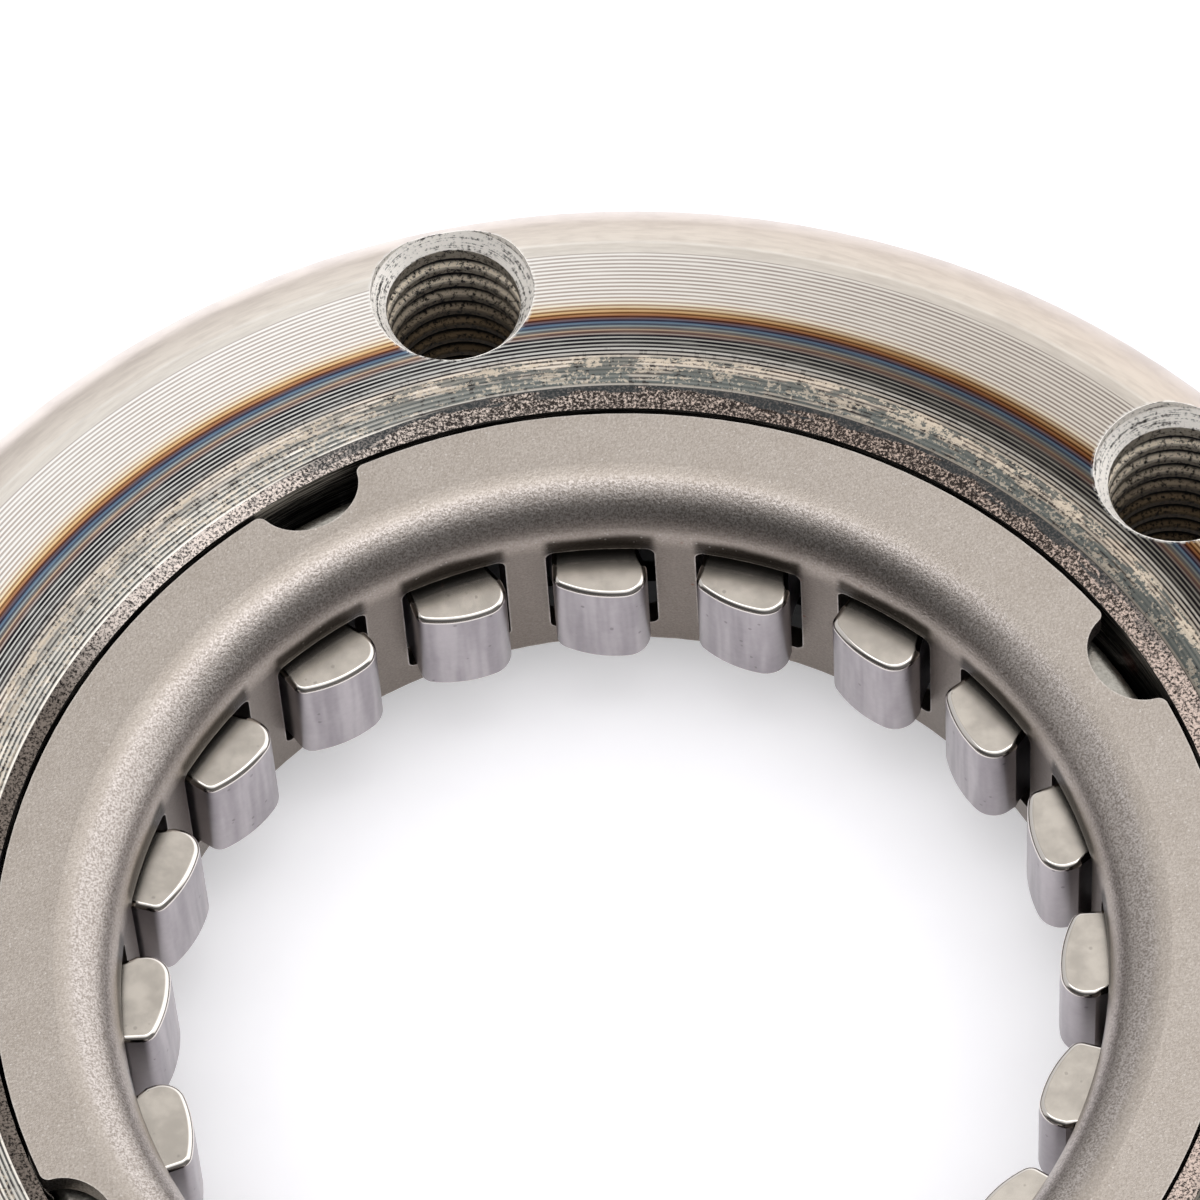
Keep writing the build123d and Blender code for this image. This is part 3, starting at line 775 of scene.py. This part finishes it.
# %% [markdown]
# One block is made and copied into the twenty windows, each turned to its place and leant as far as
# that sprag leans at rest. Its place goes into the mesh itself, as a solid's does. Weighted normals keep
# the flat faces flat between the rounded rims. Each new sprag takes its solid's place and moves with it.
# %% Sprags in their windows
CLOSE_ENOUGH = 0.00008
master = sprag_block()
sprag_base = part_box("sprag_01")[0].z
wedges = []
for number in range(1, WINDOW_COUNT + 1):
    turn = math.radians(FIRST_WINDOW - 360 / WINDOW_COUNT * (number - 1))
    lean = math.radians(REST_LEANS.get(number, 0))
    pivot = Vector((math.cos(turn), math.sin(turn), 0)) * PIVOT_RADIUS / 1000 + Vector((0, 0, sprag_base))
    mesh = master.copy()
    mesh.transform(Matrix.Translation(pivot) @ Matrix.Rotation(turn + lean, 4, "Z") @ Matrix.Scale(0.001, 4))
    wedge = bpy.data.objects.new(f"sprag_wedge_{number:02d}", mesh)
    scene.collection.objects.link(wedge)
    even = wedge.modifiers.new("even_normals", "WEIGHTED_NORMAL")
    even.keep_sharp = True
    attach(wedge, f"sprag_{number:02d}")
    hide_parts(f"sprag_{number:02d}")
    wedges.append(wedge)
    low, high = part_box(f"sprag_{number:02d}")
    off = [min(v.co[i] for v in mesh.vertices) - low[i] for i in range(3)]
    off += [max(v.co[i] for v in mesh.vertices) - high[i] for i in range(3)]
    assert max(abs(v) for v in off) < CLOSE_ENOUGH, (number, off)
bpy.data.meshes.remove(master)
print("drew", len(wedges), "sprags with", len(wedges[0].data.polygons), "faces each")
print("their boxes are within", CLOSE_ENOUGH * 1000, "mm of the solids'")

# %% [markdown]
# The finish goes by the way a face points: level faces are the satin ends, upright ones are brushed
# along their length by the grinding wheel, and all between is polished.
# %% Sprag steel
sprag, tree, shader = new_finish("sprag_hardened_steel", roughness=0.3)
where = use(tree, PLACE)
facing = add(tree, "SeparateXYZ", Vector=add(tree, "NewGeometry").outputs["Normal"]).outputs["Z"]
upright = calc(tree, "ABSOLUTE", facing)
on_end = step(tree, upright, 0.965, 0.995)
on_side = step(tree, upright, 0.25, 0.08)
cloud = noise(tree, where["Point"], 0.7, 4.0)
end_colour = blend(tree, step(tree, cloud, 0.3, 0.7), linear(174, 167, 158), linear(198, 190, 180))
bands = streaks(tree, where["Round"], where["Height"], 26.0, 0.12)
mottle = noise(tree, where["Point"], 2.6, 5.0, 0.65)
side_share = calc(tree, "MULTIPLY_ADD", step(tree, bands, 0.3, 0.7), 0.6, calc(tree, "MULTIPLY", mottle, 0.4))
side_colour = blend(tree, side_share, linear(138, 132, 136), linear(184, 178, 180))
pits = use(tree, GRAIN, Point=where["Point"], Grains_each_mm=4.5, Share=0.015)
side_colour = blend(tree, calc(tree, "MULTIPLY", pits["Chosen"], 0.5), side_colour, linear(96, 90, 92))
end_colour = blend(tree, calc(tree, "MULTIPLY", pits["Chosen"], 0.3), end_colour, linear(104, 99, 92))
polished = linear(226, 220, 214)
colour = blend(tree, on_end, blend(tree, on_side, polished, side_colour), end_colour)
feed(tree, shader["Base Color"], colour)
rough = calc(tree, "MAXIMUM", calc(tree, "MULTIPLY", on_end, 0.26), calc(tree, "MULTIPLY", on_side, 0.34))
feed(tree, shader["Roughness"], calc(tree, "MAXIMUM", rough, 0.08))
emboss(tree, shader, calc(tree, "MULTIPLY", mottle, on_side), 0.00001, 0.35)
for wedge in wedges:
    wedge.data.materials.append(sprag)
give_finish(sprag, *(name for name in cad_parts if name.startswith("sprag")))

# %% [markdown]
# ## Floor and light
# The clutch lies on plain white paper in soft light. The paper gives back nearly all the light that it
# gets, plus a breath of its own towards the lens, so open paper is white and shadows stay.
# %% Floor
bpy.ops.mesh.primitive_plane_add(size=3, location=(0, 0, cad_low.z))
floor = bpy.context.object
floor.name = "floor"
floor_finish = bpy.data.materials.new("floor_paper")
floor_finish.use_nodes = True
tree = floor_finish.node_tree
paper = tree.nodes["Principled BSDF"]
paper.inputs["Roughness"].default_value = 0.9
paper.inputs["Specular IOR Level"].default_value = 0.1
grainy = noise(tree, add(tree, "TexCoord").outputs["Object"], 900.0, 2.0)
feed(tree, paper.inputs["Base Color"], blend(tree, grainy, linear(245, 243, 249), linear(250, 249, 253)))
seen = add(tree, "LightPath").outputs
own_light = calc(tree, "MULTIPLY", calc(tree, "MAXIMUM", seen["Is Camera Ray"], seen["Is Glossy Ray"]), 0.3)
feed(tree, paper.inputs["Emission Color"], (1, 1, 1, 1))
feed(tree, paper.inputs["Emission Strength"], own_light)
floor.data.materials.append(floor_finish)
floor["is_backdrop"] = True
print("the floor is", round(cad_low.z * 1000, 2), "mm up and", round(floor.dimensions.x, 1), "m wide")

# %% [markdown]
# The room is even and white for the paper. What the steel mirrors has more shape: a broad lamp
# overhead, walls that are brighter on one side, and a dark part low down behind the camera, where a
# person would stand. Polished edges need both, or they would not show. The backdrop is white to the
# lens only.
# %% World and lamps
world = bpy.data.worlds.new("studio")
world.use_nodes = True
scene.world = world
tree = world.node_tree
sky = add(tree, "SeparateXYZ", Vector=add(tree, "TexCoord").outputs["Generated"]).outputs
behind_camera = calc(tree, "MULTIPLY", step(tree, sky["Y"], -0.02, -0.3), step(tree, sky["Z"], 0.99, 0.7))
mirrored = calc(tree, "SUBTRACT", 0.96, calc(tree, "MULTIPLY", behind_camera, 0.85))
one_side = step(tree, sky["X"], -0.6, 0.6, 0.68, 1.58)
one_side = calc(tree, "MULTIPLY", one_side, step(tree, sky["Z"], 0.0, 0.3, 0.8, 1.0))
mirrored = calc(tree, "MULTIPLY", mirrored, one_side)
from_front = step(tree, sky["Y"], 0.4, -0.6, 0.85, 1.3)
rays = add(tree, "LightPath").outputs
level = add(tree, "Mix", {"data_type": "FLOAT"})
feed(tree, level.inputs[0], rays["Is Glossy Ray"])
feed(tree, level.inputs[2], from_front)
feed(tree, level.inputs[3], mirrored)
room = tree.nodes["Background"].inputs
feed(tree, room["Color"], (1, 1, 1, 1))
feed(tree, room["Strength"], calc(tree, "MAXIMUM", level.outputs[0], rays["Is Camera Ray"]))


def softbox(name, place, target, width, depth, power):
    """A flat lamp that shines from a place towards a target."""
    lamp = bpy.data.lights.new(name, "AREA")
    lamp.shape, lamp.size, lamp.size_y, lamp.energy = "RECTANGLE", width, depth, power
    holder = bpy.data.objects.new(name, lamp)
    scene.collection.objects.link(holder)
    holder.location = place
    holder.rotation_euler = (Vector(target) - Vector(place)).to_track_quat("-Z", "Y").to_euler()
    print(name, "hangs", round(place[2] - target[2], 2), "m over the clutch")


softbox("top_softbox", (0.0, 0.05, 0.7), (0, 0.03, 0), 0.75, 0.22, 0.62)
scene.view_settings.view_transform = "Standard"

# %% [markdown]
# ## Sizes
# The last step prints the size of the dressed clutch. It should agree with the size of the solids printed
# at the start, because the finishes change no shape and the new sprags keep to the old ones' outline.
# %% Sizes, printed as a plain list
low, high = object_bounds()
print("dressed size in mm:", [round(v * 1000, 1) for v in high - low])
